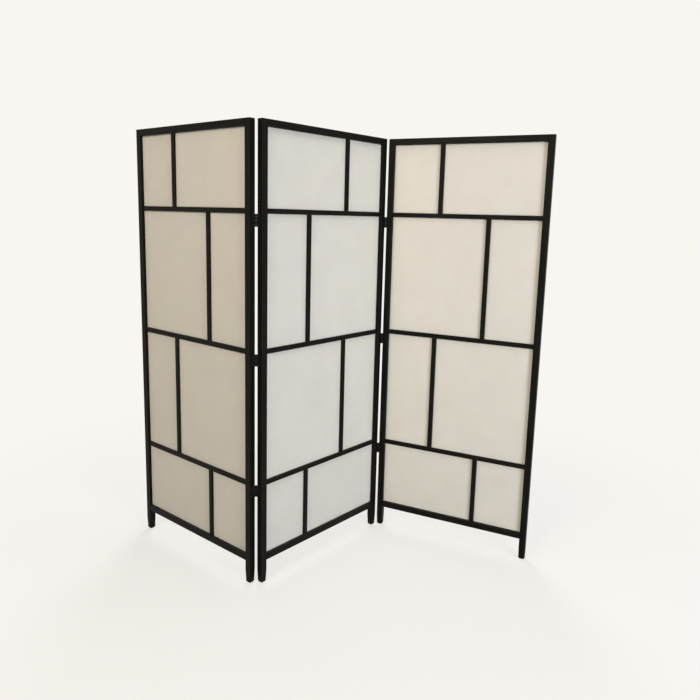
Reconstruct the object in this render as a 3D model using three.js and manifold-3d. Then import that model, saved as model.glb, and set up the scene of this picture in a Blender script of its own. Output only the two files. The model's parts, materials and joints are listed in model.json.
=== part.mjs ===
// Folding screen in the shoji manner: three wooden panels with an uneven grid of bars, pale
// infill sheets set in grooves, and six butt hinges. It stands zig-zag on its six feet.
//
// Millimetres, +Z up. The middle panel lies along X with its visible face towards -Y. The
// origin is on the floor, at the centre of the footprint of the standing screen.
//
// Each panel is a mortised frame. The stiles run down past the bottom rail as feet. Rails have
// stub tenons in the stiles, and muntins have stub tenons in the rails. One infill sheet fills
// each row: it sits in a groove all round, and passes through a kerf in the row's muntin.

import * as THREE from "three";
import { mergeVertices, toCreasedNormals } from "three/addons/utils/BufferGeometryUtils.js";
import Module from "manifold-3d";

const wasm = await Module();
wasm.setup();

// ---- Panel ---------------------------------------------------------------------------------

const PANEL_WIDTH = 720;
const PANEL_HEIGHT = 1850;
const FOOT_HEIGHT = 95; // floor to the underside of the bottom rail
const SHORT_ROW = 298; // clear height of the first and last rows
const NARROW_PANE = 213; // clear width on the narrow side of each muntin

const STILE_FACE = 28;
const RAIL_FACE = 28; // height of the top and bottom rails
const FRAME_DEPTH = 28; // front to back, on stiles, top rail and bottom rail
const BAR_FACE = 20; // cross rails and muntins
const BAR_DEPTH = 20;

const FRAME_EDGE_RADIUS = 2;
const BAR_EDGE_RADIUS = 1.5;
const FOOT_RADIUS = 5; // rounding of a stile's bottom end

// ---- Joinery -------------------------------------------------------------------------------

const SHEET_THICKNESS = 1.6;
const SHEET_CLEARANCE = 0.3; // on each side of a sheet in its groove, and past its edges
const GROOVE_DEPTH = 4;
const GLUE_GAP = 0.25; // at every shoulder, cheek and tenon end
const TENON_THICKNESS = 10;
const TENON_LENGTH = 18; // rail into stile
const TENON_SET_IN = 0.5; // a tenon's edge lies this far below the groove's floor
const MUNTIN_BRIDGE = 4; // solid wood at a muntin's tenon tip, past the end of its kerf

// ---- Hinges --------------------------------------------------------------------------------

const PANEL_GAP = 4; // between the edges of two panels that stand in line
const PIN_OFFSET = 4; // pin axis out from the panel face it folds towards
const LEFT_OPENING = 94.2; // degrees between left and middle panels as the screen stands
const RIGHT_OPENING = 107.2; // degrees between middle and right panels

const HINGE_LENGTH = 48;
const HINGE_BELOW_RAIL = 1; // cross rail's underside to the hinge's upper end
const HINGE_LEAF_WIDTH = 14; // on the stile's edge, from the panel face inwards
const HINGE_LEAF_THICKNESS = 1.3;
const HINGE_LEAF_SEAT = 0.25; // between a leaf and the wood it is screwed to
const HINGE_CORNER_RADIUS = 3;
const KNUCKLES = 5;
const KNUCKLE_CLEARANCE = 0.3; // between neighbouring knuckles, along the pin
const BARREL_RADIUS = 3.2;
const PIN_RADIUS = 1.5;
const PIN_CLEARANCE = 0.1;
const PIN_HEAD_RADIUS = 2.4;
const PIN_HEAD_HEIGHT = 0.8;

const SCREWS_PER_LEAF = 3;
const SCREW_PITCH = 16;
const SCREW_INSET = 4.6; // outer screws, in from the leaf's long edge
const SCREW_STAGGER = 4; // middle screw, closer to the barrel by this much
const SCREW_HOLE_RADIUS = 1.7;
const COUNTERSINK_RADIUS = 3.2;
const COUNTERSINK_DEPTH = 1;
const PILOT_RADIUS = 1;
const PILOT_DEPTH = 14;

// ---- Facets ----------------------------------------------------------------------------------

const ARC_DIVISIONS = 2; // half the straight steps in a quarter round
const PIN_SIDES = 12;
const BARREL_SIDES = 14;
const HOLE_SIDES = 8;
const PILOT_SIDES = 6;
const CREASE_ANGLE = Math.PI / 6;
const OVERCUT = 1; // how far a cutter runs past the surface it opens

// ---- Values that follow ----------------------------------------------------------------------

const clearWidth = PANEL_WIDTH - 2 * STILE_FACE;
const openingBottom = FOOT_HEIGHT + RAIL_FACE;
const openingTop = PANEL_HEIGHT - RAIL_FACE;
const grooveWidth = SHEET_THICKNESS + 2 * SHEET_CLEARANCE;
const sheetReach = GROOVE_DEPTH - SHEET_CLEARANCE; // how far a sheet enters its groove
const tenonShoulder = GROOVE_DEPTH + TENON_SET_IN;
const muntinTenonLength = GROOVE_DEPTH + MUNTIN_BRIDGE;

const CROSS_RAIL_NAMES = ["upper_cross_rail", "middle_cross_rail", "lower_cross_rail"];
const rowCount = CROSS_RAIL_NAMES.length + 1;
const tallRow =
  (openingTop - openingBottom - CROSS_RAIL_NAMES.length * BAR_FACE - 2 * SHORT_ROW) / (rowCount - 2);

// Rows from top to bottom. Muntins stand on alternate sides of the panel.
const rows = [];
for (let row = 0, top = openingTop; row < rowCount; row += 1) {
  const height = row === 0 || row === rowCount - 1 ? SHORT_ROW : tallRow;
  const side = row % 2 === 0 ? -1 : 1;
  rows.push({
    top,
    bottom: top - height,
    muntinX: side * (clearWidth / 2 - NARROW_PANE - BAR_FACE / 2),
  });
  top -= height + BAR_FACE;
}

// Rails from top to bottom. A rail carries the muntins of the rows that it borders.
const rails = [
  { name: "top_rail", bottom: openingTop, top: PANEL_HEIGHT, rowBelow: rows[0] },
  ...CROSS_RAIL_NAMES.map((name, index) => ({
    name,
    bottom: rows[index + 1].top,
    top: rows[index].bottom,
    rowAbove: rows[index],
    rowBelow: rows[index + 1],
  })),
  { name: "bottom_rail", bottom: FOOT_HEIGHT, top: openingBottom, rowAbove: rows[rowCount - 1] },
];
const hingeCentres = rails
  .filter((rail) => rail.rowAbove && rail.rowBelow)
  .map((rail) => rail.bottom - HINGE_BELOW_RAIL - HINGE_LENGTH / 2);
const HINGE_NAMES = ["upper", "middle", "lower"];

// A pin's place, from the middle of a panel's width and depth.
const pinX = PANEL_WIDTH / 2 + PANEL_GAP / 2;
const pinY = FRAME_DEPTH / 2 + PIN_OFFSET;

// A hinge leaf, from its pin.
const leafBack = HINGE_LEAF_SEAT - PANEL_GAP / 2;
const leafFront = leafBack + HINGE_LEAF_THICKNESS;
const leafOuterEdge = -PIN_OFFSET - HINGE_LEAF_WIDTH;
const boreRadius = PIN_RADIUS + PIN_CLEARANCE;
const knuckleLength = HINGE_LENGTH / KNUCKLES;
const screwPlaces = Array.from({ length: SCREWS_PER_LEAF }, (_, index) => {
  const step = index - (SCREWS_PER_LEAF - 1) / 2;
  const stagger = index % 2 === 1 ? SCREW_STAGGER : 0;
  return { y: leafOuterEdge + SCREW_INSET + stagger, z: step * SCREW_PITCH };
});

// ---- Materials -------------------------------------------------------------------------------

const blackWood = () => new THREE.MeshStandardMaterial({ color: 0x1f1d19, roughness: 0.5, metalness: 0 });
const paleSheet = () => new THREE.MeshStandardMaterial({ color: 0xe4e0d2, roughness: 0.75, metalness: 0 });
const blackSteel = () => new THREE.MeshStandardMaterial({ color: 0x17181a, roughness: 0.4, metalness: 0.8 });

// ---- Solids ----------------------------------------------------------------------------------

function toSolid(geometry) {
  geometry.deleteAttribute("normal");
  geometry.deleteAttribute("uv");
  const merged = mergeVertices(geometry);
  return new wasm.Manifold(
    new wasm.Mesh({
      numProp: 3,
      vertProperties: merged.attributes.position.array,
      triVerts: new Uint32Array(merged.index.array),
    }),
  );
}

function toMesh(name, solid, material) {
  const { vertProperties, triVerts } = solid.getMesh();
  const geometry = new THREE.BufferGeometry();
  geometry.setAttribute("position", new THREE.BufferAttribute(vertProperties, 3));
  geometry.setIndex(new THREE.BufferAttribute(triVerts, 1));
  const mesh = new THREE.Mesh(toCreasedNormals(geometry, CREASE_ANGLE), material);
  mesh.name = name;
  return mesh;
}

function block(x0, x1, y0, y1, z0, z1) {
  const geometry = new THREE.BoxGeometry(x1 - x0, y1 - y0, z1 - z0);
  geometry.translate((x0 + x1) / 2, (y0 + y1) / 2, (z0 + z1) / 2);
  return toSolid(geometry);
}

function rod(radius, z0, z1, sides) {
  const geometry = new THREE.CylinderGeometry(radius, radius, z1 - z0, sides);
  geometry.rotateX(Math.PI / 2);
  geometry.translate(0, 0, (z0 + z1) / 2);
  return toSolid(geometry);
}

// A rectangle with rounded corners, of one radius at its lower side and one at its upper side.
function roundedRectangle(x0, x1, y0, y1, lowRadius, highRadius = lowRadius) {
  const quarter = Math.PI / 2;
  const shape = new THREE.Shape();
  shape.absarc(x1 - lowRadius, y0 + lowRadius, lowRadius, -quarter, 0);
  shape.absarc(x1 - highRadius, y1 - highRadius, highRadius, 0, quarter);
  shape.absarc(x0 + highRadius, y1 - highRadius, highRadius, quarter, 2 * quarter);
  shape.absarc(x0 + lowRadius, y0 + lowRadius, lowRadius, 2 * quarter, 3 * quarter);
  shape.closePath();
  return shape;
}

function extrude(shape, depth) {
  return new THREE.ExtrudeGeometry(shape, { depth, bevelEnabled: false, curveSegments: ARC_DIVISIONS });
}

const X = new THREE.Vector3(1, 0, 0);
const Y = new THREE.Vector3(0, 1, 0);
const Z = new THREE.Vector3(0, 0, 1);

// Prisms: a shape drawn in YZ runs along X, one in XZ along Y, and one in XY along Z.
function alongX(shape, x0, x1) {
  const geometry = extrude(shape, x1 - x0);
  geometry.applyMatrix4(new THREE.Matrix4().makeBasis(Y, Z, X));
  geometry.translate(x0, 0, 0);
  return toSolid(geometry);
}

function alongY(shape, y0, y1) {
  const geometry = extrude(shape, y1 - y0);
  geometry.applyMatrix4(new THREE.Matrix4().makeBasis(X, Z, Y.clone().negate()));
  geometry.translate(0, y1, 0);
  return toSolid(geometry);
}

function alongZ(shape, z0, z1) {
  const geometry = extrude(shape, z1 - z0);
  geometry.translate(0, 0, z0);
  return toSolid(geometry);
}

// ---- Frame members, drawn about the panel's vertical centre line -------------------------------

// A stile's blank: rounded along its four edges, and at its top and foot from front and side.
function stileBlank() {
  const halfFace = STILE_FACE / 2;
  const halfDepth = FRAME_DEPTH / 2;
  const section = roundedRectangle(-halfFace, halfFace, -halfDepth, halfDepth, FRAME_EDGE_RADIUS);
  const front = roundedRectangle(-halfFace, halfFace, 0, PANEL_HEIGHT, FOOT_RADIUS, FRAME_EDGE_RADIUS);
  const side = roundedRectangle(-halfDepth, halfDepth, 0, PANEL_HEIGHT, FOOT_RADIUS, FRAME_EDGE_RADIUS);
  return alongZ(section, 0, PANEL_HEIGHT)
    .intersect(alongY(front, -halfDepth, halfDepth))
    .intersect(alongX(side, -halfFace, halfFace));
}

// The mortises and groove in a stile whose inner face is the plane x = 0, with the wood beyond it.
function stileCuts() {
  const cheek = TENON_THICKNESS / 2 + GLUE_GAP;
  const cuts = [
    block(
      -OVERCUT,
      GROOVE_DEPTH,
      -grooveWidth / 2,
      grooveWidth / 2,
      openingBottom - GROOVE_DEPTH,
      openingTop + GROOVE_DEPTH,
    ),
  ];
  for (const rail of rails) {
    cuts.push(
      block(
        -OVERCUT,
        TENON_LENGTH + GLUE_GAP,
        -cheek,
        cheek,
        rail.bottom + tenonShoulder - GLUE_GAP,
        rail.top - tenonShoulder + GLUE_GAP,
      ),
    );
  }
  return cuts;
}

// Pilot holes for one hinge leaf's screws, drawn about the hinge's pin.
function pilotHoles() {
  return screwPlaces.map(({ y, z }) =>
    rod(PILOT_RADIUS, -PILOT_DEPTH, OVERCUT, PILOT_SIDES)
      .rotate([0, 90, 0])
      .translate([-PANEL_GAP / 2, y, z]),
  );
}

// side: -1 for the stile at the panel's -X end, 1 for the one at +X.
function stile(side, hingeFace) {
  let solid = stileBlank().translate([(side * (PANEL_WIDTH - STILE_FACE)) / 2, 0, 0]);
  for (const cut of stileCuts()) {
    const placed = side > 0 ? cut : cut.mirror([1, 0, 0]);
    solid = solid.subtract(placed.translate([(side * clearWidth) / 2, 0, 0]));
  }
  if (hingeFace) {
    for (const centre of hingeCentres) {
      for (const hole of pilotHoles()) {
        let placed = hole;
        if (side < 0) placed = placed.mirror([1, 0, 0]);
        if (hingeFace < 0) placed = placed.mirror([0, 1, 0]);
        solid = solid.subtract(placed.translate([side * pinX, hingeFace * pinY, centre]));
      }
    }
  }
  return solid;
}

function rail({ bottom, top, rowAbove, rowBelow }) {
  const isCross = Boolean(rowAbove && rowBelow);
  const depth = isCross ? BAR_DEPTH : FRAME_DEPTH;
  const radius = isCross ? BAR_EDGE_RADIUS : FRAME_EDGE_RADIUS;
  const halfLength = clearWidth / 2 - GLUE_GAP;
  const halfSpan = clearWidth / 2 + TENON_LENGTH;
  const section = roundedRectangle(-depth / 2, depth / 2, bottom, top, radius);
  const cheek = TENON_THICKNESS / 2;
  let solid = alongX(section, -halfLength, halfLength).add(
    block(-halfSpan, halfSpan, -cheek, cheek, bottom + tenonShoulder, top - tenonShoulder),
  );
  const halfGroove = grooveWidth / 2;
  const grooveEnd = clearWidth / 2 + OVERCUT;
  const borders = [
    { row: rowAbove, edge: top, inwards: -1 },
    { row: rowBelow, edge: bottom, inwards: 1 },
  ];
  for (const { row, edge, inwards } of borders) {
    if (!row) continue;
    const cut = (x0, x1, halfThickness, depthIn) => {
      const ends = [edge - inwards * OVERCUT, edge + inwards * depthIn];
      return block(x0, x1, -halfThickness, halfThickness, Math.min(...ends), Math.max(...ends));
    };
    const halfMortise = BAR_FACE / 2 - tenonShoulder + GLUE_GAP;
    solid = solid
      .subtract(cut(-grooveEnd, grooveEnd, halfGroove, GROOVE_DEPTH))
      .subtract(
        cut(
          row.muntinX - halfMortise,
          row.muntinX + halfMortise,
          cheek + GLUE_GAP,
          muntinTenonLength + GLUE_GAP,
        ),
      );
  }
  return solid;
}

function muntin({ top, bottom, muntinX }) {
  const halfFace = BAR_FACE / 2;
  const halfTenon = halfFace - tenonShoulder;
  const cheek = TENON_THICKNESS / 2;
  const section = roundedRectangle(-halfFace, halfFace, -BAR_DEPTH / 2, BAR_DEPTH / 2, BAR_EDGE_RADIUS);
  return alongZ(section, bottom + GLUE_GAP, top - GLUE_GAP)
    .add(
      block(
        -halfTenon,
        halfTenon,
        -cheek,
        cheek,
        bottom - muntinTenonLength,
        top + muntinTenonLength,
      ),
    )
    .subtract(
      block(
        -halfFace - OVERCUT,
        halfFace + OVERCUT,
        -grooveWidth / 2,
        grooveWidth / 2,
        bottom - GROOVE_DEPTH,
        top + GROOVE_DEPTH,
      ),
    )
    .translate([muntinX, 0, 0]);
}

function sheet({ top, bottom }) {
  const halfWidth = clearWidth / 2 + sheetReach;
  const halfThickness = SHEET_THICKNESS / 2;
  return block(-halfWidth, halfWidth, -halfThickness, halfThickness, bottom - sheetReach, top + sheetReach);
}

// ---- Butt hinge --------------------------------------------------------------------------------
// Drawn about its pin, which lies on Z. The wood that this leaf is screwed to has its edge in the
// plane x = -PANEL_GAP / 2 and its face in the plane y = -PIN_OFFSET.

function knuckleSpan(index) {
  const low = index * knuckleLength - HINGE_LENGTH / 2;
  return [low + KNUCKLE_CLEARANCE / 2, low + knuckleLength - KNUCKLE_CLEARANCE / 2];
}

function countersunkHole() {
  const slope = (COUNTERSINK_RADIUS - SCREW_HOLE_RADIUS) / COUNTERSINK_DEPTH;
  const cone = new THREE.CylinderGeometry(
    COUNTERSINK_RADIUS + slope * OVERCUT,
    SCREW_HOLE_RADIUS,
    COUNTERSINK_DEPTH + OVERCUT,
    HOLE_SIDES,
  );
  cone.translate(0, (OVERCUT - COUNTERSINK_DEPTH) / 2, 0);
  cone.rotateZ(-Math.PI / 2);
  return [
    toSolid(cone).translate([leafFront, 0, 0]),
    rod(SCREW_HOLE_RADIUS, -OVERCUT, HINGE_LEAF_THICKNESS + OVERCUT, HOLE_SIDES)
      .rotate([0, 90, 0])
      .translate([leafBack, 0, 0]),
  ];
}

// firstKnuckle 0 gives the leaf with the outer knuckles, which holds the pin; 1 gives its mate.
function hingeLeaf(firstKnuckle) {
  const holdsPin = firstKnuckle === 0;
  const barrelEdge = -BARREL_RADIUS - KNUCKLE_CLEARANCE;
  const outline = new THREE.Shape();
  const corner = HINGE_CORNER_RADIUS;
  const halfLength = HINGE_LENGTH / 2;
  outline.moveTo(barrelEdge, halfLength);
  outline.lineTo(leafOuterEdge + corner, halfLength);
  outline.absarc(leafOuterEdge + corner, halfLength - corner, corner, Math.PI / 2, Math.PI);
  outline.absarc(leafOuterEdge + corner, corner - halfLength, corner, Math.PI, 1.5 * Math.PI);
  outline.lineTo(barrelEdge, -halfLength);
  outline.closePath();
  let solid = alongX(outline, leafBack, leafFront);
  const wrap = (BARREL_RADIUS + boreRadius) / 2; // the plate runs this near to the pin's axis
  for (let index = firstKnuckle; index < KNUCKLES; index += 2) {
    const [low, high] = knuckleSpan(index);
    let knuckle = rod(BARREL_RADIUS, low, high, BARREL_SIDES);
    if (!holdsPin) knuckle = knuckle.subtract(rod(boreRadius, low - OVERCUT, high + OVERCUT, PIN_SIDES));
    solid = solid.add(knuckle).add(block(leafBack, leafFront, barrelEdge - OVERCUT, -wrap, low, high));
  }
  if (holdsPin) {
    const headEnd = halfLength + PIN_HEAD_HEIGHT;
    const inside = halfLength - knuckleLength / 2;
    solid = solid
      .add(rod(PIN_RADIUS, -halfLength, halfLength, PIN_SIDES))
      .add(rod(PIN_HEAD_RADIUS, inside, headEnd, PIN_SIDES))
      .add(rod(PIN_HEAD_RADIUS, -headEnd, -inside, PIN_SIDES));
  }
  for (const { y, z } of screwPlaces) {
    for (const cutter of countersunkHole()) solid = solid.subtract(cutter.translate([0, y, z]));
  }
  return solid;
}

// ---- Assembly ----------------------------------------------------------------------------------

// One wooden panel with its sheets. hinged lists the stiles that carry hinges, as the end of the
// panel and the face that the pins stand out from: { end, face }, each -1 or 1.
function panel(panelName, turned, hinged) {
  const group = new THREE.Group();
  const add = (name, solid, material) => group.add(toMesh(`${panelName}_${name}`, solid, material));
  for (const end of [-1, 1]) {
    const seenSide = end < 0 !== turned ? "left" : "right";
    const hinge = hinged.find((entry) => entry.end === end);
    add(`${seenSide}_stile`, stile(end, hinge ? hinge.face : 0), blackWood());
  }
  for (const place of rails) add(place.name, rail(place), blackWood());
  rows.forEach((row, index) => {
    add(`row_${index + 1}_muntin`, muntin(row), blackWood());
    add(`row_${index + 1}_sheet`, sheet(row), paleSheet());
  });
  if (turned) group.rotation.z = Math.PI;
  return group;
}

// A column of hinge leaves on one pin line. turn brings the drawn leaf to the side it serves.
function hingeColumn(columnName, firstKnuckle, turn) {
  const group = new THREE.Group();
  hingeCentres.forEach((centre, index) => {
    const name = `${HINGE_NAMES[index]}_${columnName}`;
    const leaf = toMesh(name, hingeLeaf(firstKnuckle), blackSteel());
    leaf.position.z = centre;
    leaf.rotation.copy(turn);
    group.add(leaf);
  });
  return group;
}

// The middle panel is the same panel turned around, so its bars mirror its neighbours'.
function middlePanel() {
  const group = new THREE.Group();
  group.add(
    panel("middle_panel", true, [
      { end: 1, face: -1 },
      { end: -1, face: 1 },
    ]),
  );
  const left = hingeColumn("left_hinge_pin_leaf", 0, new THREE.Euler(0, Math.PI, 0));
  left.position.set(-pinX, pinY, 0);
  const right = hingeColumn("right_hinge_pin_leaf", 0, new THREE.Euler(Math.PI, 0, 0));
  right.position.set(pinX, -pinY, 0);
  group.add(left, right);
  return group;
}

// An outer panel turns about a pin line of the middle panel. end is the end of the outer panel
// that is hinged, and face the side its pins stand out from. It is drawn in line, then opened.
function outerPanel(panelName, columnName, end, face, opening, turn) {
  const pivot = new THREE.Group();
  pivot.position.set(-end * pinX, face * pinY, 0);
  pivot.rotation.z = THREE.MathUtils.degToRad(opening - 180);
  const body = panel(panelName, false, [{ end, face }]);
  body.position.set(-end * pinX, -face * pinY, 0);
  pivot.add(body, hingeColumn(columnName, 1, turn));
  return pivot;
}

const screen = new THREE.Group();
screen.add(
  middlePanel(),
  outerPanel("left_panel", "left_hinge_outer_leaf", 1, 1, LEFT_OPENING, new THREE.Euler(0, 0, 0)),
  outerPanel("right_panel", "right_hinge_outer_leaf", -1, -1, RIGHT_OPENING, new THREE.Euler(0, 0, Math.PI)),
);

// Stand the screen on the floor, centred on its footprint.
screen.updateMatrixWorld(true);
const bounds = new THREE.Box3().setFromObject(screen, true);
const footprint = bounds.getCenter(new THREE.Vector3());
screen.position.set(-footprint.x, -footprint.y, -bounds.min.z);
screen.updateMatrixWorld(true);

export default screen;
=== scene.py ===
# Folding screen in the shoji manner: its finishes, hinges, screws, light and camera.
#
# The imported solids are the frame. Each wooden member and each infill sheet is dressed as a copy
# of its own solid that also knows its place in its timber or pane, and the feet get a fuller
# rounding. The hinge leaves are built finer than their solids, with rolled knuckles, and get
# their countersunk screws. Everything is in metres, +Z up.

import json
import math
import random

import bmesh
import bpy
from mathutils import Matrix, Vector

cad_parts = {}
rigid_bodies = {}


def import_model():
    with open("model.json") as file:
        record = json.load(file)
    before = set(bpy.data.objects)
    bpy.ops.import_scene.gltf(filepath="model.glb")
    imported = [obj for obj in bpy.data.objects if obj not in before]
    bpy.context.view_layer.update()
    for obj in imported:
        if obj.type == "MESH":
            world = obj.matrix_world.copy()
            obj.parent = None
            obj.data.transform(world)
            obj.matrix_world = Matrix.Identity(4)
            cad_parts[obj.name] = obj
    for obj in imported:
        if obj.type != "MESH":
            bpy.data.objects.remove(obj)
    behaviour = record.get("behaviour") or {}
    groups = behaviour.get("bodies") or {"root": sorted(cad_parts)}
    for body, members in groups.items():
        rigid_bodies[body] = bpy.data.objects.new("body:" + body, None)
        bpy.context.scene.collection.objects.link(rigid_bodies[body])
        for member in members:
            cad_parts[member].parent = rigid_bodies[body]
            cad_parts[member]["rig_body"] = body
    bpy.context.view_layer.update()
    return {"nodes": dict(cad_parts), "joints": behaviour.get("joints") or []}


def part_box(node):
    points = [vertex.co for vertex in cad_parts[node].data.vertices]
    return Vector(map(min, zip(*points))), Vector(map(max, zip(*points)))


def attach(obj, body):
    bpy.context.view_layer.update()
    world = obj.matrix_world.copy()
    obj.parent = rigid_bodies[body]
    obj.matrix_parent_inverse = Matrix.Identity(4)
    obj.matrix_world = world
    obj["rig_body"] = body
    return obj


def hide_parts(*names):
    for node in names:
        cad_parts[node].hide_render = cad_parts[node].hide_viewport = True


# The scene starts empty.
for leftover in list(bpy.data.objects):
    bpy.data.objects.remove(leftover)

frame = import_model()

MM = 0.001

# ---- Sizes of the pieces that are built here ------------------------------------------------

# A hinge is drawn about its pin, on Z. The stile's edge that the leaf is screwed to is the plane
# x = -EDGE_TO_PIN, and the leaf runs from the barrel towards -Y.
EDGE_TO_PIN = 2 * MM
LEAF_SEAT = 0.25 * MM
LEAF_THICKNESS = 1.3 * MM
LEAF_OUTER_EDGE = 18 * MM  # from the pin's axis
LEAF_CORNER = 3 * MM
HINGE_LENGTH = 48 * MM
KNUCKLES = 5
KNUCKLE_GAP = 0.3 * MM
BARREL_RADIUS = 3.2 * MM
BORE_RADIUS = 1.6 * MM
ROLL_SEAM = 0.25 * MM  # between the rolled end of a knuckle and the leaf's face
RIM = 0.18 * MM  # bevel on every pressed edge
RUB_WIDTH = 0.35 * MM  # enamel rubbed thin this far in from an edge
PIN_RADIUS = 1.5 * MM
PIN_HEAD_RADIUS = 2.4 * MM
PIN_HEAD_HEIGHT = 0.8 * MM

SCREW_PLACES = [(-13.4 * MM, -16 * MM), (-9.4 * MM, 0), (-13.4 * MM, 16 * MM)]  # y, z
COUNTERSINK_RADIUS = 3.2 * MM
COUNTERSINK_DEPTH = 1 * MM
SCREW_HOLE_RADIUS = 1.7 * MM
SCREW_HEAD_RADIUS = 3.05 * MM
SCREW_HEAD_BELOW_LEAF = 0.06 * MM
SCREW_HEAD_RIM = 0.12 * MM
SCREW_NECK_RADIUS = 1.5 * MM
SCREW_CORE_RADIUS = 0.92 * MM
SCREW_LENGTH = 13 * MM
SCREW_TIP_LENGTH = 2.5 * MM
SCREW_TIP_RADIUS = 0.12 * MM
CROSS_REACH = 1.75 * MM  # half the span of the cross recess
CROSS_WIDTH = 0.42 * MM  # half the width of one of its slots
CROSS_DEPTH = 0.9 * MM

LEAF_BACK = LEAF_SEAT - EDGE_TO_PIN
LEAF_FRONT = LEAF_BACK + LEAF_THICKNESS

FRAME_EDGE_RADIUS = 2 * MM  # along a stile's edges
FOOT_TOP = 60 * MM  # from here down a stile's edges get rounder
FOOT_CORNER = 8 * MM  # along a stile's edges where its end starts to round
FOOT_RADIUS = 8 * MM  # rounding of a stile's lower end
FOOT_LEAST_CORNER = 1.5 * MM  # on the flat that stands on the floor

SHEET_HIDDEN = 3.7 * MM  # how far a sheet reaches into its groove
HALF_MUNTIN = 10 * MM  # half of a muntin's width
BAR_SHADE_AND_DIRT_REACH = 6 * MM  # how far the dirt and painted contact shade by the bars reach onto a pane

CIRCLE_STEPS = 32
ROLL_STEPS = 40
CORNER_STEPS = 8
FOOT_STEPS = 8

PANELS = ["left_panel", "middle_panel", "right_panel"]
HINGED_PANEL = {"left_hinge": "left_panel", "right_hinge": "right_panel"}
JOINT_OF = {"left_hinge": "left_fold", "right_hinge": "right_fold"}
HINGE_HEIGHTS = ["upper", "middle", "lower"]

TIMBER_DRAWS = 7  # seeds of the random draws
SCREW_DRAWS = 11

WELD_DISTANCE = 0.002 * MM
SOFT_ANGLE = math.radians(32)  # facets that meet at less than this are one rounded surface


# ---- Node trees -----------------------------------------------------------------------------

def put(tree, kind, inputs=None, **settings):
    """Adds a node. An input that is given as a socket is linked; any other value is set."""
    node = tree.nodes.new(kind)
    for name, value in settings.items():
        setattr(node, name, value)
    for name, value in (inputs or {}).items():
        if isinstance(value, bpy.types.NodeSocket):
            tree.links.new(value, node.inputs[name])
        else:
            node.inputs[name].default_value = value
    return node


def maths(tree, operation, *values, clamp=False):
    node = put(tree, "ShaderNodeMath", dict(enumerate(values)), operation=operation, use_clamp=clamp)
    return node.outputs["Value"]


def vectors(tree, operation, *values, output="Vector"):
    node = put(tree, "ShaderNodeVectorMath", dict(enumerate(values)), operation=operation)
    return node.outputs[output]


def spread(tree, value, low, high, to_low=0.0, to_high=1.0):
    """Takes low..high to to_low..to_high, eased at both ends."""
    node = put(
        tree,
        "ShaderNodeMapRange",
        {"Value": value, "From Min": low, "From Max": high, "To Min": to_low, "To Max": to_high},
        interpolation_type="SMOOTHSTEP",
    )
    return node.outputs["Result"]


def noise(tree, place, scale, seed=None, detail=3.0, roughness=0.55):
    inputs = {"Vector": place, "Scale": scale, "Detail": detail, "Roughness": roughness}
    if seed is not None:
        inputs["W"] = seed
    node = put(tree, "ShaderNodeTexNoise", inputs, noise_dimensions="3D" if seed is None else "4D")
    return node.outputs["Fac"]


def blend_colour(tree, share, below, above):
    node = put(tree, "ShaderNodeMix", {0: share, 6: below, 7: above}, data_type="RGBA")
    return node.outputs[2]


def attribute(tree, name, output):
    return put(tree, "ShaderNodeAttribute", attribute_name=name).outputs[output]


def effect_group(name, inputs, outputs):
    """A node group with named inputs, as (name, kind, default), and named value outputs."""
    group = bpy.data.node_groups.new(name, "ShaderNodeTree")
    for label, kind, default in inputs:
        socket = group.interface.new_socket(label, in_out="INPUT", socket_type=f"NodeSocket{kind}")
        if default is not None:
            socket.default_value = default
    for label in outputs:
        group.interface.new_socket(label, in_out="OUTPUT", socket_type="NodeSocketFloat")
    return group, group.nodes.new("NodeGroupInput").outputs, group.nodes.new("NodeGroupOutput").inputs


def place_group(tree, group, inputs):
    return put(tree, "ShaderNodeGroup", inputs, node_tree=group).outputs


# ---- Effects, each a node group ---------------------------------------------------------------

def make_timber_grain():
    """Growth rings, open pores and uneven stain, drawn out along the member's length."""
    group, given, result = effect_group(
        "timber_grain",
        [("Place", "Vector", None), ("Seed", "Float", 0.0)],
        ["Rings", "Pores", "Stain"],
    )
    along_rings = vectors(group, "MULTIPLY", given["Place"], (1.0, 1.0, 0.035))
    bends = noise(group, along_rings, 24.0, given["Seed"], detail=2.5, roughness=0.45)
    wave = maths(group, "SINE", maths(group, "MULTIPLY", bends, 55.0))
    rings = spread(group, wave, -1.0, 1.0)
    along_pores = vectors(group, "MULTIPLY", given["Place"], (1.0, 1.0, 0.022))
    dashes = noise(group, along_pores, 1500.0, given["Seed"], detail=2.0)
    along_stain = vectors(group, "MULTIPLY", given["Place"], (1.0, 1.0, 0.12))
    patches = noise(group, along_stain, 70.0, given["Seed"], detail=4.0, roughness=0.6)
    group.links.new(rings, result["Rings"])
    group.links.new(spread(group, dashes, 0.56, 0.7), result["Pores"])
    group.links.new(spread(group, patches, 0.32, 0.68), result["Stain"])
    return group


def make_arris_wear():
    """A broken band along a member's edges, where hands and floors have rubbed it."""
    group, given, result = effect_group(
        "arris_wear",
        [
            ("Place", "Vector", None),
            ("Half Size", "Vector", None),
            ("Seed", "Float", 0.0),
            ("Width", "Float", 1.1 * MM),
        ],
        ["Wear"],
    )
    inwards = vectors(group, "SUBTRACT", given["Half Size"], vectors(group, "ABSOLUTE", given["Place"]))
    parts = put(group, "ShaderNodeSeparateXYZ", {"Vector": inwards}).outputs
    sums = [
        maths(group, "ADD", parts["X"], parts["Y"]),
        maths(group, "ADD", parts["Y"], parts["Z"]),
        maths(group, "ADD", parts["X"], parts["Z"]),
    ]
    to_arris = maths(group, "MINIMUM", maths(group, "MINIMUM", sums[0], sums[1]), sums[2])
    ragged = noise(group, given["Place"], 85.0, given["Seed"], detail=6.0, roughness=0.7)
    reach = maths(group, "MULTIPLY", given["Width"], spread(group, ragged, 0.44, 0.7, 0.0, 2.0))
    share = maths(group, "DIVIDE", to_arris, maths(group, "ADD", reach, 0.02 * MM))
    group.links.new(spread(group, share, 0.5, 1.2, 1.0, 0.0), result["Wear"])
    return group


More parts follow.
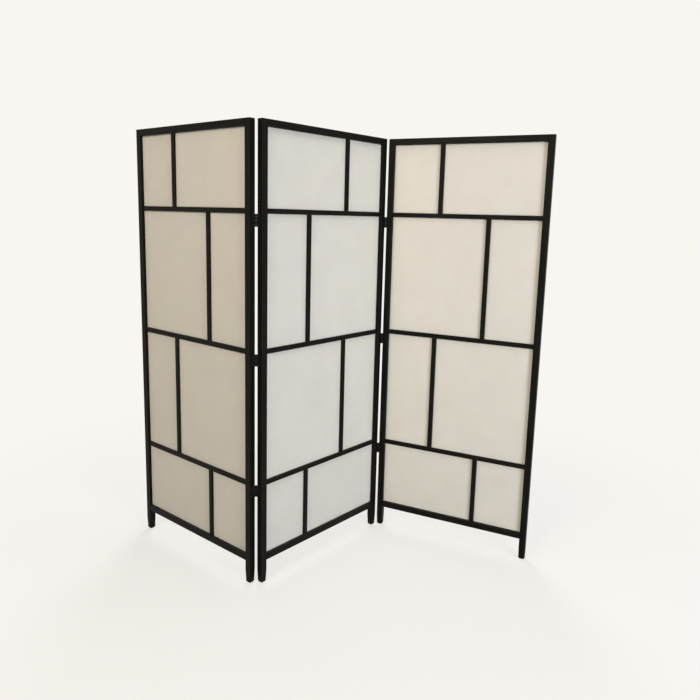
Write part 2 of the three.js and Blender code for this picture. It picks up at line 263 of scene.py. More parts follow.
def make_settled_dust():
    """Dust on what faces up, uneven, and a trace of it everywhere."""
    group, given, result = effect_group(
        "settled_dust", [("Amount", "Float", None), ("Trace", "Float", None)], ["Dust"]
    )
    facing = put(group, "ShaderNodeNewGeometry").outputs["Normal"]
    upward = put(group, "ShaderNodeSeparateXYZ", {"Vector": facing}).outputs["Z"]
    place = put(group, "ShaderNodeTexCoord").outputs["Object"]
    uneven = spread(group, noise(group, place, 55.0, detail=6.0, roughness=0.65), 0.25, 0.75, 0.35, 1.0)
    lying = maths(group, "MULTIPLY", spread(group, upward, 0.5, 0.95), given["Amount"])
    total = maths(group, "ADD", lying, given["Trace"])
    group.links.new(maths(group, "MULTIPLY", total, uneven, clamp=True), result["Dust"])
    return group


def make_paper_formation():
    """Cloudy pulp and single fibres, as laminated paper shows close up."""
    group, given, result = effect_group(
        "paper_formation", [("Place", "Vector", None), ("Seed", "Float", 0.0)], ["Cloud", "Fibres"]
    )
    pulp = noise(group, given["Place"], 160.0, given["Seed"], detail=6.0, roughness=0.62)
    broad = noise(group, given["Place"], 9.0, given["Seed"], detail=2.0)
    pulp_part = maths(group, "MULTIPLY", pulp, 0.55)
    broad_part = maths(group, "MULTIPLY", broad, 0.45)
    cloud = maths(group, "ADD", pulp_part, broad_part)
    lines = noise(group, given["Place"], 95.0, given["Seed"], detail=1.5, roughness=0.4)
    off_line = maths(group, "ABSOLUTE", maths(group, "SUBTRACT", lines, 0.5))
    thin = spread(group, off_line, 0.0, 0.006, 1.0, 0.0)
    broken = spread(group, noise(group, given["Place"], 60.0, given["Seed"], detail=2.0), 0.48, 0.6)
    group.links.new(spread(group, cloud, 0.34, 0.66), result["Cloud"])
    group.links.new(maths(group, "MULTIPLY", thin, broken), result["Fibres"])
    return group


def make_enamel_chips():
    """Where enamel has been rubbed through: on the marked rims, and in a few small chips."""
    group, given, result = effect_group("enamel_chips", [("Rub", "Float", 0.0)], ["Bare"])
    place = put(group, "ShaderNodeTexCoord").outputs["Object"]
    ragged = noise(group, place, 700.0, detail=5.0, roughness=0.7)
    rubbed = maths(group, "MULTIPLY", given["Rub"], spread(group, ragged, 0.46, 0.62))
    chips = spread(group, noise(group, place, 420.0, detail=3.0), 0.7, 0.74)
    group.links.new(maths(group, "MAXIMUM", rubbed, chips), result["Bare"])
    return group


# ---- Finishes ---------------------------------------------------------------------------------

def start_material(name):
    material = bpy.data.materials.new(name)
    material.use_nodes = True
    tree = material.node_tree
    tree.nodes.clear()
    shader = tree.nodes.new("ShaderNodeBsdfPrincipled")
    output = tree.nodes.new("ShaderNodeOutputMaterial")
    tree.links.new(shader.outputs["BSDF"], output.inputs["Surface"])
    return material, tree, shader.inputs


def make_black_stained_wood():
    material, tree, surface = start_material("black_stained_wood")
    place = attribute(tree, "timber_place", "Vector")
    seed = attribute(tree, "timber_seed", "Fac")
    half_size = attribute(tree, "timber_half_size", "Vector")
    grain = place_group(tree, timber_grain, {"Place": place, "Seed": seed})
    edges = {"Place": place, "Half Size": half_size, "Seed": seed}
    wear = place_group(tree, arris_wear, edges)["Wear"]
    dust = place_group(tree, settled_dust, {"Amount": 0.07, "Trace": 0.004})["Dust"]

    stain = blend_colour(tree, grain["Stain"], (0.0024, 0.0023, 0.0017, 1), (0.0054, 0.0051, 0.0037, 1))
    ringed = blend_colour(
        tree, maths(tree, "MULTIPLY", grain["Rings"], 0.5), stain, (0.0100, 0.0090, 0.0064, 1)
    )
    pored = blend_colour(
        tree, maths(tree, "MULTIPLY", grain["Pores"], 0.6), ringed, (0.0016, 0.0015, 0.0013, 1)
    )
    rubbed = blend_colour(
        tree, maths(tree, "MULTIPLY", wear, 0.5), pored, (0.040, 0.029, 0.018, 1)
    )
    tree.links.new(blend_colour(tree, dust, rubbed, (0.34, 0.32, 0.29, 1)), surface["Base Color"])

    dull = spread(tree, grain["Stain"], 0.0, 1.0, 0.36, 0.5)
    dull = maths(tree, "ADD", dull, maths(tree, "MULTIPLY", grain["Pores"], 0.18))
    dull = maths(tree, "ADD", dull, maths(tree, "MULTIPLY", dust, 0.5), clamp=True)
    tree.links.new(dull, surface["Roughness"])

    height = maths(tree, "SUBTRACT", maths(tree, "MULTIPLY", grain["Rings"], 0.3), grain["Pores"])
    relief = put(tree, "ShaderNodeBump", {"Height": height, "Strength": 0.35, "Distance": 0.08 * MM})
    tree.links.new(relief.outputs["Normal"], surface["Normal"])
    surface["Specular IOR Level"].default_value = 0.07
    return material


def make_laminated_paper():
    material, tree, surface = start_material("laminated_paper")
    place = attribute(tree, "pane_place", "Vector")
    seed = attribute(tree, "pane_seed", "Fac")
    half_size = attribute(tree, "pane_half_size", "Vector")
    muntin = attribute(tree, "pane_muntin", "Vector")
    formation = place_group(tree, paper_formation, {"Place": place, "Seed": seed})

    # Painted shade and dirt: a pane is darkened within a few mm of its frame and muntin, partly dirt and
    # partly contact shade painted into its colour.
    inwards = vectors(tree, "SUBTRACT", half_size, vectors(tree, "ABSOLUTE", place))
    to_frame = put(tree, "ShaderNodeSeparateXYZ", {"Vector": inwards}).outputs
    across = put(tree, "ShaderNodeSeparateXYZ", {"Vector": place}).outputs["X"]
    bar = put(tree, "ShaderNodeSeparateXYZ", {"Vector": muntin}).outputs
    to_bar = maths(
        tree, "SUBTRACT", maths(tree, "ABSOLUTE", maths(tree, "SUBTRACT", across, bar["X"])), bar["Y"]
    )
    nearest = maths(tree, "MINIMUM", maths(tree, "MINIMUM", to_frame["X"], to_frame["Z"]), to_bar)
    bar_shade_and_dirt = spread(tree, nearest, 0.0, BAR_SHADE_AND_DIRT_REACH, 1.0, 0.0)

    base = blend_colour(tree, formation["Cloud"], (0.754, 0.732, 0.682, 1), (0.792, 0.771, 0.722, 1))
    fibred = blend_colour(
        tree, maths(tree, "MULTIPLY", formation["Fibres"], 0.22), base, (0.60, 0.55, 0.46, 1)
    )
    # The painted contact shade and dirt by the bars, mixed into the pane's colour.
    with_bar_shade_and_dirt = blend_colour(tree, maths(tree, "MULTIPLY", bar_shade_and_dirt, 0.08), fibred, (0.50, 0.46, 0.39, 1))
    tree.links.new(with_bar_shade_and_dirt, surface["Base Color"])

    tree.links.new(spread(tree, formation["Cloud"], 0.0, 1.0, 0.46, 0.58), surface["Roughness"])
    height = maths(
        tree, "ADD", formation["Cloud"], maths(tree, "MULTIPLY", formation["Fibres"], 0.35)
    )
    relief = put(tree, "ShaderNodeBump", {"Height": height, "Strength": 0.12, "Distance": 0.05 * MM})
    tree.links.new(relief.outputs["Normal"], surface["Normal"])
    surface["Subsurface Weight"].default_value = 0.35
    surface["Subsurface Radius"].default_value = (1.0, 0.85, 0.6)
    surface["Subsurface Scale"].default_value = 2.5 * MM
    surface["Specular IOR Level"].default_value = 0.35
    return material


def make_black_enamelled_steel():
    material, tree, surface = start_material("black_enamelled_steel")
    bare = place_group(tree, enamel_chips, {"Rub": attribute(tree, "rub", "Fac")})["Bare"]
    dust = place_group(tree, settled_dust, {"Amount": 0.08, "Trace": 0.003})["Dust"]
    place = put(tree, "ShaderNodeTexCoord").outputs["Object"]
    peel = noise(tree, place, 900.0, detail=2.0)
    enamel = blend_colour(
        tree, spread(tree, peel, 0.3, 0.7), (0.0045, 0.0045, 0.0045, 1), (0.0085, 0.0085, 0.0085, 1)
    )
    worn = blend_colour(tree, bare, enamel, (0.15, 0.145, 0.14, 1))
    tree.links.new(blend_colour(tree, dust, worn, (0.33, 0.31, 0.28, 1)), surface["Base Color"])
    tree.links.new(maths(tree, "MULTIPLY", bare, 0.9), surface["Metallic"])
    dull = spread(tree, peel, 0.3, 0.7, 0.26, 0.36)
    dull = maths(tree, "ADD", dull, maths(tree, "MULTIPLY", dust, 0.5))
    tree.links.new(dull, surface["Roughness"])
    relief = put(tree, "ShaderNodeBump", {"Height": peel, "Strength": 0.1, "Distance": 0.03 * MM})
    tree.links.new(relief.outputs["Normal"], surface["Normal"])
    surface["Specular IOR Level"].default_value = 0.16
    return material


def make_blackened_screw_steel():
    material, tree, surface = start_material("blackened_screw_steel")
    place = put(tree, "ShaderNodeTexCoord").outputs["Object"]
    # Darker, duller and less metallic towards the floor of the cross recess.
    recess_darkening = attribute(tree, "recess", "Fac")
    patina = spread(tree, noise(tree, place, 1100.0, detail=4.0, roughness=0.6), 0.3, 0.7)
    steel = blend_colour(tree, patina, (0.040, 0.040, 0.042, 1), (0.085, 0.083, 0.081, 1))
    tree.links.new(blend_colour(tree, recess_darkening, steel, (0.012, 0.011, 0.010, 1)), surface["Base Color"])
    metal = maths(tree, "SUBTRACT", 1.0, maths(tree, "MULTIPLY", recess_darkening, 0.8))
    tree.links.new(metal, surface["Metallic"])
    dull = spread(tree, patina, 0.0, 1.0, 0.3, 0.42)
    dull = maths(tree, "ADD", dull, maths(tree, "MULTIPLY", recess_darkening, 0.4))
    tree.links.new(dull, surface["Roughness"])
    relief = put(tree, "ShaderNodeBump", {"Height": patina, "Strength": 0.15, "Distance": 0.03 * MM})
    tree.links.new(relief.outputs["Normal"], surface["Normal"])
    return material


timber_grain = make_timber_grain()
arris_wear = make_arris_wear()
settled_dust = make_settled_dust()
paper_formation = make_paper_formation()
enamel_chips = make_enamel_chips()

black_stained_wood = make_black_stained_wood()
laminated_paper = make_laminated_paper()
black_enamelled_steel = make_black_enamelled_steel()
blackened_screw_steel = make_blackened_screw_steel()


# ---- The panels' own axes -----------------------------------------------------------------------

def middle_of(node):
    low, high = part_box(node)
    return (low + high) / 2


def panel_axes(panel):
    """The matrix of a panel: X along its width as seen from the front, Z up, centre on the floor."""
    left = middle_of(f"{panel}_left_stile")
    right = middle_of(f"{panel}_right_stile")
    along = (right - left).normalized()
    up = Vector((0, 0, 1))
    through = up.cross(along)
    centre = (left + right) / 2
    axes = Matrix((along, through, up)).transposed().to_4x4()
    axes.translation = (centre.x, centre.y, 0)
    return axes


AXES = {panel: panel_axes(panel) for panel in PANELS}


def body_of_node(name):
    return frame["nodes"][name]["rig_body"]


# ---- Building meshes ----------------------------------------------------------------------------

def circle(centre, radius):
    points = []
    for step in range(CIRCLE_STEPS):
        angle = 2 * math.pi * step / CIRCLE_STEPS
        points.append((centre[0] + radius * math.cos(angle), centre[1] + radius * math.sin(angle)))
    return points


def at_x(x):
    return lambda y, z: (x, y, z)


def at_z(z):
    return lambda x, y: (x, y, z)


def add_ring(shape, outline, to_point, layer, mark=0.0):
    """A ring of points, each with its mark in a layer that the material reads."""
    ring = [shape.verts.new(to_point(*point)) for point in outline]
    for vert in ring:
        vert[layer] = mark
    return ring


def bridge(shape, first, second):
    count = len(first)
    for i in range(count):
        j = (i + 1) % count
        shape.faces.new((first[i], first[j], second[j], second[i]))


def bridge_all(shape, rings):
    for first, second in zip(rings, rings[1:]):
        bridge(shape, first, second)


def fill_between(shape, outer, holes):
    """Fills the flat area inside one ring of points and outside others."""
    edges = []
    for ring in [outer, *holes]:
        for i, vert in enumerate(ring):
            after = ring[(i + 1) % len(ring)]
            edges.append(shape.edges.get((vert, after)) or shape.edges.new((vert, after)))
    bmesh.ops.triangle_fill(shape, edges=edges, use_beauty=True)


def open_rim(shape):
    """The points of a shape's one open rim, in order round it."""
    edges = [edge for edge in shape.edges if edge.is_boundary]
    first, vert = edges.pop(0).verts
    rim = [first]
    while vert is not first:
        rim.append(vert)
        edge = next(edge for edge in edges if vert in edge.verts)
        edges.remove(edge)
        vert = edge.other_vert(vert)
    return rim


def finish_shape(shape, name):
    bmesh.ops.recalc_face_normals(shape, faces=shape.faces)
    mesh = bpy.data.meshes.new(name)
    shape.to_mesh(mesh)
    shape.free()
    return mesh


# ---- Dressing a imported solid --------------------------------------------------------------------

def set_points(mesh, name, kind, values):
    layer = mesh.attributes.new(name, kind, "POINT")
    flat = [number for value in values for number in value] if kind == "FLOAT_VECTOR" else values
    layer.data.foreach_set("vector" if kind == "FLOAT_VECTOR" else "value", flat)


def soften(piece):
    """Shades shallow facets as one rounded surface and keeps the flats flat."""
    piece.data.shade_smooth()
    piece.data.set_sharp_from_angle(angle=SOFT_ANGLE)
    even = piece.modifiers.new("even_normals", "WEIGHTED_NORMAL")
    even.keep_sharp = True
    even.weight = 100


def link(name, mesh, material):
    piece = bpy.data.objects.new(name, mesh)
    bpy.context.scene.collection.objects.link(piece)
    mesh.materials.clear()
    mesh.materials.append(material)
    return piece


def dressed_copy(node, name, material, reshape=None):
    """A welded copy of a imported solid, in its place, which stands for it."""
    shape = bmesh.new()
    shape.from_mesh(frame["nodes"][node].data)
    bmesh.ops.remove_doubles(shape, verts=shape.verts, dist=WELD_DISTANCE)
    if reshape:
        reshape(shape)
    mesh = bpy.data.meshes.new(name)
    shape.to_mesh(mesh)
    shape.free()
    if "custom_normal" in mesh.attributes:
        mesh.attributes.remove(mesh.attributes["custom_normal"])
    piece = link(name, mesh, material)
    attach(piece, body_of_node(node))
    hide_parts(node)
    return piece


def local_span(points):
    low = Vector([min(p[i] for p in points) for i in range(3)])
    high = Vector([max(p[i] for p in points) for i in range(3)])
    return (low + high) / 2, (high - low) / 2


def drawn_in(value, half, inset, corner):
    """Where a coordinate of a stile's section goes as the section shrinks and its corners grow."""
    flat = half - FRAME_EDGE_RADIUS
    kept = half - inset - corner
    size = abs(value)
    if size <= flat:
        moved = size * kept / flat
    else:
        moved = kept + corner * (size - flat) / FRAME_EDGE_RADIUS
    return math.copysign(moved, value)


def foot_sections():
    """A foot's sections from its full width down to the floor, as (height, inset, corner)."""
    sections = []
    for step in range(1, FOOT_STEPS + 1):
        share = step / FOOT_STEPS
        eased = share * share * (3 - 2 * share)
        corner = FRAME_EDGE_RADIUS + eased * (FOOT_CORNER - FRAME_EDGE_RADIUS)
        sections.append((FOOT_TOP - share * (FOOT_TOP - FOOT_RADIUS), 0, corner))
    for step in range(1, FOOT_STEPS + 1):
        angle = step * math.pi / 2 / FOOT_STEPS
        inset = FOOT_RADIUS * (1 - math.cos(angle))
        corner = max(FOOT_CORNER - inset, FOOT_LEAST_CORNER)
        sections.append((FOOT_RADIUS * (1 - math.sin(angle)), inset, corner))
    return sections


def foot_rounder(panel, node):
    """A function that rounds a stile's lower end evenly, inside its solid."""
    to_panel = AXES[panel].inverted()
    centre = to_panel @ middle_of(node)

    def round_foot(shape):
        every_part = [*shape.verts, *shape.edges, *shape.faces]
        bmesh.ops.bisect_plane(
            shape, geom=every_part, plane_co=(0, 0, FOOT_TOP), plane_no=(0, 0, 1), clear_inner=True
        )
        above = open_rim(shape)
        across = [to_panel @ vert.co - centre for vert in above]
        half_x = max(point.x for point in across)
        half_y = max(point.y for point in across)
        for height, inset, corner in foot_sections():
            ring = []
            for point in across:
                x = centre.x + drawn_in(point.x, half_x, inset, corner)
                y = centre.y + drawn_in(point.y, half_y, inset, corner)
                ring.append(shape.verts.new(AXES[panel] @ Vector((x, y, height))))
            bridge(shape, above, ring)
            above = ring
        shape.faces.new(above)
        bmesh.ops.recalc_face_normals(shape, faces=shape.faces)

    return round_foot


def dress_timber(panel, member, seed):
    """A stile, rail or muntin: each point knows its place across, through and along its timber."""
    node = f"{panel}_{member}"
    reshape = foot_rounder(panel, node) if member.endswith("stile") else None
    piece = dressed_copy(node, f"{node}_timber", black_stained_wood, reshape)
    to_panel = AXES[panel].inverted()
    points = [to_panel @ v.co for v in piece.data.vertices]
    centre, half = local_span(points)
    order = (0, 1, 2) if half.z > half.x else (2, 1, 0)
    places = [[(p - centre)[i] for i in order] for p in points]
    count = len(points)
    set_points(piece.data, "timber_place", "FLOAT_VECTOR", places)
    set_points(piece.data, "timber_half_size", "FLOAT_VECTOR", [[half[i] for i in order]] * count)
    set_points(piece.data, "timber_seed", "FLOAT", [seed] * count)
    soften(piece)


def dress_sheet(panel, row, seed):
    """An infill sheet: each point knows how far it is from the bars that frame its panes."""
    node = f"{panel}_row_{row}_sheet"
    piece = dressed_copy(node, f"{node}_paper", laminated_paper)
    to_panel = AXES[panel].inverted()
    points = [to_panel @ v.co for v in piece.data.vertices]
    centre, half = local_span(points)
    muntin_x = (to_panel @ middle_of(f"{panel}_row_{row}_muntin") - centre).x
    count = len(points)
    shown = [half.x - SHEET_HIDDEN, 1.0, half.z - SHEET_HIDDEN]  # only X and Z are read
    set_points(piece.data, "pane_place", "FLOAT_VECTOR", [list(p - centre) for p in points])
    set_points(piece.data, "pane_half_size", "FLOAT_VECTOR", [shown] * count)
    set_points(piece.data, "pane_muntin", "FLOAT_VECTOR", [[muntin_x, HALF_MUNTIN, 0]] * count)
    set_points(piece.data, "pane_seed", "FLOAT", [seed] * count)
    piece.data.shade_flat()


def dress_panels():
    chance = random.Random(TIMBER_DRAWS)
    for panel in PANELS:
        for member in [
            "left_stile",
            "right_stile",
            "top_rail",
            "upper_cross_rail",
            "middle_cross_rail",
            "lower_cross_rail",
            "bottom_rail",
            *[f"row_{row}_muntin" for row in range(1, 5)],
        ]:
            dress_timber(panel, member, chance.uniform(0, 50))
        for row in range(1, 5):
            dress_sheet(panel, row, chance.uniform(0, 50))


# ---- Hinges -------------------------------------------------------------------------------------

def leaf_outline(inset):
    """The leaf's outline in Y and Z: square at the barrel, round-cornered at its far edge."""
    near = -(BARREL_RADIUS + KNUCKLE_GAP) - inset
    far = -LEAF_OUTER_EDGE + inset
    half = HINGE_LENGTH / 2 - inset
    corner = LEAF_CORNER - inset
    points = [(near, half)]
    for centre_z, start in ((half - corner, math.pi / 2), (corner - half, math.pi)):
        for step in range(CORNER_STEPS + 1):
            angle = start + step * math.pi / (2 * CORNER_STEPS)
            points.append((far + corner + corner * math.cos(angle), centre_z + corner * math.sin(angle)))
    points.append((near, -half))
    return points


def add_plate(shape, rub_layer):
    """The flat of a leaf, with bevelled edges and three countersunk holes."""
    rings = [
        add_ring(shape, leaf_outline(RIM), at_x(LEAF_BACK), rub_layer),
        add_ring(shape, leaf_outline(0), at_x(LEAF_BACK + RIM), rub_layer),
        add_ring(shape, leaf_outline(0), at_x(LEAF_FRONT - RIM), rub_layer, 1.0),
        add_ring(shape, leaf_outline(RIM), at_x(LEAF_FRONT), rub_layer, 0.6),
        add_ring(shape, leaf_outline(RIM + RUB_WIDTH), at_x(LEAF_FRONT), rub_layer),
    ]
    bridge_all(shape, rings)
    front_holes, back_holes = [], []
    for place in SCREW_PLACES:
        sections = [
            (COUNTERSINK_RADIUS + RUB_WIDTH, LEAF_FRONT, 0.0),
            (COUNTERSINK_RADIUS, LEAF_FRONT, 0.7),
            (SCREW_HOLE_RADIUS, LEAF_FRONT - COUNTERSINK_DEPTH, 0.0),
            (SCREW_HOLE_RADIUS, LEAF_BACK, 0.0),
        ]
        hole = [
            add_ring(shape, circle(place, radius), at_x(x), rub_layer, rub)
            for radius, x, rub in sections
        ]
        bridge_all(shape, hole)
        front_holes.append(hole[0])
        back_holes.append(hole[-1])
    fill_between(shape, rings[-1], front_holes)
    fill_between(shape, rings[0], back_holes)


def rolled_section(inset):
    """Section of a knuckle in X and Y: the leaf's metal rolled round the pin, with its seam."""
    outer = BARREL_RADIUS - inset
    bore = BORE_RADIUS + inset
    back = LEAF_BACK + inset
    front = LEAF_FRONT - inset
    overlap = -(BARREL_RADIUS + KNUCKLE_GAP) - 1 * MM
    lip = LEAF_FRONT + ROLL_SEAM + inset
    out_start = math.atan2(-math.sqrt(outer**2 - back**2), back)
    out_end = math.atan2(-math.sqrt(outer**2 - lip**2), lip)
    in_end = math.atan2(-math.sqrt(bore**2 - lip**2), lip)
    in_start = math.atan2(-math.sqrt(bore**2 - front**2), front)
    points = [(back, overlap)]
    # Clockwise round the outside, from the back of the leaf over the pin to the rolled lip.
    sweep = (out_start - out_end) % (2 * math.pi)
    for step in range(ROLL_STEPS + 1):
        angle = out_start - sweep * step / ROLL_STEPS
        points.append((outer * math.cos(angle), outer * math.sin(angle)))
    # Back along the bore to the leaf's front face.
    sweep = (in_start - in_end) % (2 * math.pi)
    for step in range(ROLL_STEPS + 1):
        angle = in_end + sweep * step / ROLL_STEPS
        points.append((bore * math.cos(angle), bore * math.sin(angle)))
    points.append((front, overlap))
    return points


def add_knuckle(shape, rub_layer, index):
    """One rolled knuckle with bevelled ends."""
    pitch = HINGE_LENGTH / KNUCKLES
    low = index * pitch - HINGE_LENGTH / 2 + KNUCKLE_GAP / 2
    high = low + pitch - KNUCKLE_GAP
    sections = [
        (low, RIM, 0.7),
        (low + RIM, 0, 1.0),
        (low + 3 * RIM, 0, 0.0),
        (high - 3 * RIM, 0, 0.0),
        (high - RIM, 0, 1.0),
        (high, RIM, 0.7),
    ]
    rings = [
        add_ring(shape, rolled_section(inset), at_z(z), rub_layer, rub) for z, inset, rub in sections
    ]
    bridge_all(shape, rings)
    fill_between(shape, rings[0], [])
    fill_between(shape, rings[-1], [])


def add_pin(shape, rub_layer):
    """The pin, with a staked, domed head over each end of the barrel."""
    end = HINGE_LENGTH / 2
    seat = end - KNUCKLE_GAP / 2
    # From inside the last knuckle, out under the head and up its dome.
    half = [
        (PIN_RADIUS, seat - 0.3 * MM, 0.0),
        (PIN_RADIUS, seat, 0.0),
        (PIN_HEAD_RADIUS, seat, 0.2),
        (PIN_HEAD_RADIUS, seat + 0.35 * MM, 1.0),
        (PIN_HEAD_RADIUS * 0.86, seat + 0.65 * MM, 0.8),
        (PIN_HEAD_RADIUS * 0.5, end + PIN_HEAD_HEIGHT - 0.05 * MM, 0.4),
        (PIN_HEAD_RADIUS * 0.15, end + PIN_HEAD_HEIGHT, 0.3),
    ]
    below = [(radius, -z, rub) for radius, z, rub in reversed(half)]
    rings = [
        add_ring(shape, circle((0, 0), radius), at_z(z), rub_layer, rub)
        for radius, z, rub in below + half
    ]
    bridge_all(shape, rings)
    shape.faces.new(rings[0])
    shape.faces.new(rings[-1])


def leaf_mesh(name, first_knuckle, with_pin):
    shape = bmesh.new()
    rub_layer = shape.verts.layers.float.new("rub")
    add_plate(shape, rub_layer)
    for index in range(first_knuckle, KNUCKLES, 2):
        add_knuckle(shape, rub_layer, index)
    if with_pin:
        add_pin(shape, rub_layer)
    return finish_shape(shape, name)


def cross_outline(reach, width):
    """The cross recess of a screw head, as a ring of points."""
    corners = [(reach, -width), (reach, width), (width, width)]
    points = []
    for quarter in range(4):
        cosine = round(math.cos(quarter * math.pi / 2))
        sine = round(math.sin(quarter * math.pi / 2))
        points += [(x * cosine - y * sine, x * sine + y * cosine) for x, y in corners]
    return points


def screw_mesh():
    """A countersunk wood screw along Z, its head at the top, z = 0, with a cross recess."""
    shape = bmesh.new()
    recess_layer = shape.verts.layers.float.new("recess")
    profile = [
        (SCREW_HEAD_RADIUS - SCREW_HEAD_RIM, 0),
        (SCREW_HEAD_RADIUS, -SCREW_HEAD_RIM),
        (SCREW_NECK_RADIUS, -COUNTERSINK_DEPTH),
        (SCREW_NECK_RADIUS, -LEAF_THICKNESS),
        (SCREW_CORE_RADIUS, -LEAF_THICKNESS - LEAF_SEAT),
        (SCREW_CORE_RADIUS, SCREW_TIP_LENGTH - SCREW_LENGTH),
        (SCREW_TIP_RADIUS, -SCREW_LENGTH),
    ]
    rings = [
        add_ring(shape, circle((0, 0), radius), at_z(z), recess_layer) for radius, z in profile
    ]
    bridge_all(shape, rings)
    shape.faces.new(rings[-1])
    mouth = cross_outline(CROSS_REACH, CROSS_WIDTH)
    mouth = add_ring(shape, mouth, at_z(0), recess_layer, 0.25)
    floor = cross_outline(CROSS_REACH * 0.5, CROSS_WIDTH * 0.6)
    floor = add_ring(shape, floor, at_z(-CROSS_DEPTH), recess_layer, 1.0)
    bridge(shape, mouth, floor)
    fill_between(shape, floor, [])
    fill_between(shape, rings[0], [mouth])
    return finish_shape(shape, "countersunk_screw")


def hinge_axes(panel, joint_name, node):
    """The axes of a hinge leaf: X out of the stile's edge, Y out of the face by the pin."""
    joint = next(joint for joint in frame["joints"] if joint["name"] == joint_name)
    pin = Vector(joint["pos_m"])
    pin.z = middle_of(node).z
    axes = AXES[panel]
    from_centre = axes.inverted() @ pin
    out_of_edge = axes.to_3x3() @ Vector((math.copysign(1, from_centre.x), 0, 0))
    out_of_face = axes.to_3x3() @ Vector((0, math.copysign(1, from_centre.y), 0))
    placed = Matrix((out_of_edge, out_of_face, out_of_edge.cross(out_of_face))).transposed().to_4x4()
    placed.translation = pin
    return placed


def hang_hinges():
    meshes = {
        "pin_leaf": leaf_mesh("pin_leaf", 0, True),
        "outer_leaf": leaf_mesh("outer_leaf", 1, False),
    }
    screw = screw_mesh()
    chance = random.Random(SCREW_DRAWS)
    for column, outer_panel in HINGED_PANEL.items():
        for kind, panel in (("pin_leaf", "middle_panel"), ("outer_leaf", outer_panel)):
            for height in HINGE_HEIGHTS:
                node = f"{height}_{column}_{kind}"
                placed = hinge_axes(panel, JOINT_OF[column], node)
                leaf = link(f"{node}_pressed", meshes[kind].copy(), black_enamelled_steel)
                leaf.data.transform(placed)
                soften(leaf)
                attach(leaf, panel)
                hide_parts(node)
                for number, (y, z) in enumerate(SCREW_PLACES, 1):
                    head = Matrix.Translation((LEAF_FRONT - SCREW_HEAD_BELOW_LEAF, y, z))
                    lie = Matrix.Rotation(math.pi / 2, 4, "Y")
                    turn = Matrix.Rotation(chance.uniform(0, math.pi / 2), 4, "Z")
                    piece = link(f"{node}_screw_{number}", screw.copy(), blackened_screw_steel)
                    piece.data.transform(placed @ head @ lie @ turn)
                    soften(piece)
                    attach(piece, panel)


# ---- Floor, light and camera --------------------------------------------------------------------

BACKDROP = (0.947, 0.921, 0.888, 1)
FLOOR_GLOW = 0.62  # share of the floor's brightness by the screen that no shadow takes away
FLOOR_GLOW_START = 0.9  # from here outwards the share grows
FLOOR_GLOW_FULL = 2.5
FLOOR_RADIUS = 40
FLOOR_DROP = 0.2 * MM  # so that the floor and the feet's ends don't share a plane
WORLD_LOW = 0.1
WORLD_HIGH = 0.3


def make_floor():
    """A pale floor that keeps the screen's shadow and runs out into the backdrop."""
    material, tree, surface = start_material("pale_floor")
    place = put(tree, "ShaderNodeTexCoord").outputs["Object"]
    rays = put(tree, "ShaderNodeLightPath").outputs
    seen = maths(tree, "MAXIMUM", rays["Is Camera Ray"], rays["Is Glossy Ray"])
    mottle = spread(tree, noise(tree, place, 2.2, detail=4.0), 0.3, 0.7)
    pale = blend_colour(tree, mottle, (0.946, 0.942, 0.946, 1), (0.958, 0.954, 0.958, 1))
    tree.links.new(blend_colour(tree, seen, (0.22, 0.215, 0.205, 1), pale), surface["Base Color"])
    surface["Roughness"].default_value = 0.85
    surface["Specular IOR Level"].default_value = 0.05
    away = vectors(tree, "LENGTH", place, output="Value")
    far = spread(tree, away, FLOOR_GLOW_START, FLOOR_GLOW_FULL, FLOOR_GLOW, 1.0)
    glow = put(tree, "ShaderNodeEmission", {"Color": BACKDROP, "Strength": 1.0})
    glow_share = maths(tree, "MULTIPLY", far, seen)
    lit = next(node for node in tree.nodes if node.type == "BSDF_PRINCIPLED")
    mixed = put(
        tree, "ShaderNodeMixShader", {0: glow_share, 1: lit.outputs["BSDF"], 2: glow.outputs["Emission"]}
    )
    output = next(node for node in tree.nodes if node.type == "OUTPUT_MATERIAL")
    tree.links.new(mixed.outputs["Shader"], output.inputs["Surface"])

    shape = bmesh.new()
    bmesh.ops.create_circle(shape, cap_ends=True, radius=FLOOR_RADIUS, segments=96)
    mesh = finish_shape(shape, "floor")
    mesh.transform(Matrix.Translation((0, 0, -FLOOR_DROP)))
    link("floor", mesh, material)


def make_world():
    """Soft light that is stronger from above, with the backdrop's colour where it is seen."""
    world = bpy.data.worlds.new("studio")
    world.use_nodes = True
    tree = world.node_tree
    tree.nodes.clear()
    rays = put(tree, "ShaderNodeLightPath").outputs
    seen = maths(tree, "MAXIMUM", rays["Is Camera Ray"], rays["Is Transmission Ray"])
    seen = maths(tree, "MAXIMUM", seen, rays["Is Glossy Ray"])
    direction = put(tree, "ShaderNodeTexCoord").outputs["Generated"]
    height = put(tree, "ShaderNodeSeparateXYZ", {"Vector": direction}).outputs["Z"]
    strength = spread(tree, height, -0.2, 0.8, WORLD_LOW, WORLD_HIGH)
    soft = put(tree, "ShaderNodeBackground", {"Color": (1.0, 0.99, 0.975, 1), "Strength": strength})
    shown = put(tree, "ShaderNodeBackground", {"Color": BACKDROP, "Strength": 1.0})
    mixed = put(
        tree,
        "ShaderNodeMixShader",
        {0: seen, 1: soft.outputs["Background"], 2: shown.outputs["Background"]},
    )
    put(tree, "ShaderNodeOutputWorld", {"Surface": mixed.outputs["Shader"]})
    bpy.context.scene.world = world


def add_softbox(name, place, aim, width, height, power, colour):
    data = bpy.data.lights.new(name, "AREA")
    data.shape = "RECTANGLE"
    data.size = width
    data.size_y = height
    data.energy = power
    data.color = colour
    lamp = bpy.data.objects.new(name, data)
    lamp.location = place
    lamp.rotation_euler = (Vector(aim) - Vector(place)).to_track_quat("-Z", "Y").to_euler()
    bpy.context.scene.collection.objects.link(lamp)


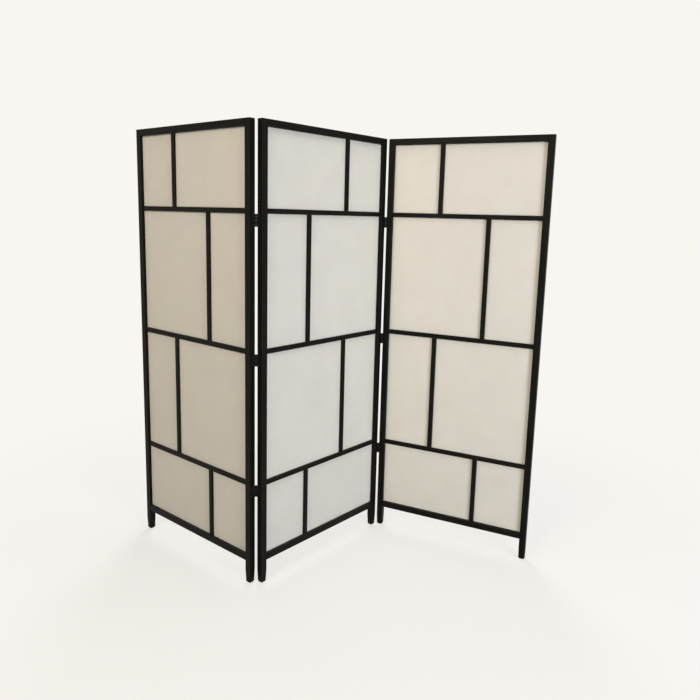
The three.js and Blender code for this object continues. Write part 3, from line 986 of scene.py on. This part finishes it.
def light_studio():
    """Two frontal lamps give the panels their tones; the other two fill in from above and behind."""
    add_softbox("left_softbox", (-4.4, -0.6, 3.0), (0, 0, 1.0), 2.0, 2.0, 92, (1.0, 0.87, 0.68))
    add_softbox("right_softbox", (-0.8, -4.6, 1.0), (0.2, -0.2, 0.7), 1.8, 1.4, 116, (0.90, 0.945, 1.0))
    add_softbox("overhead_softbox", (0.2, -0.4, 4.0), (0, 0, 0), 3.0, 3.0, 45, (1.0, 0.98, 0.93))
    add_softbox("back_softbox", (2.4, 2.4, 3.4), (0.1, 0.1, 0.9), 2.0, 2.0, 80, (1.0, 0.98, 0.95))


# The camera that the photo's panes, edges and feet were fitted to.
CAMERA_PLACE = (-1.943474, -1.863134, 1.504727)
CAMERA_YAW = 0.8355  # from +Y towards +X
CAMERA_PITCH = 0.1599  # below the horizon
CAMERA_ROLL = 0.0259
FOCAL_LENGTH = 31.913  # for a sensor 36 wide
SHIFT_X = -0.00503
SHIFT_Y = -0.04862


def place_camera():
    data = bpy.data.cameras.new("camera")
    data.sensor_width = 36
    data.lens = FOCAL_LENGTH
    data.shift_x = SHIFT_X
    data.shift_y = SHIFT_Y
    camera = bpy.data.objects.new("camera", data)
    forward = Vector(
        (
            math.sin(CAMERA_YAW) * math.cos(CAMERA_PITCH),
            math.cos(CAMERA_YAW) * math.cos(CAMERA_PITCH),
            -math.sin(CAMERA_PITCH),
        )
    )
    level = Vector((math.cos(CAMERA_YAW), -math.sin(CAMERA_YAW), 0))
    upright = level.cross(forward)
    right = level * math.cos(CAMERA_ROLL) + upright * math.sin(CAMERA_ROLL)
    up = upright * math.cos(CAMERA_ROLL) - level * math.sin(CAMERA_ROLL)
    matrix = Matrix((right, up, -forward)).transposed().to_4x4()
    matrix.translation = CAMERA_PLACE
    camera.matrix_world = matrix
    bpy.context.scene.collection.objects.link(camera)
    bpy.context.scene.camera = camera


dress_panels()
hang_hinges()
make_floor()
make_world()
light_studio()
place_camera()
bpy.context.scene.view_settings.view_transform = "Standard"
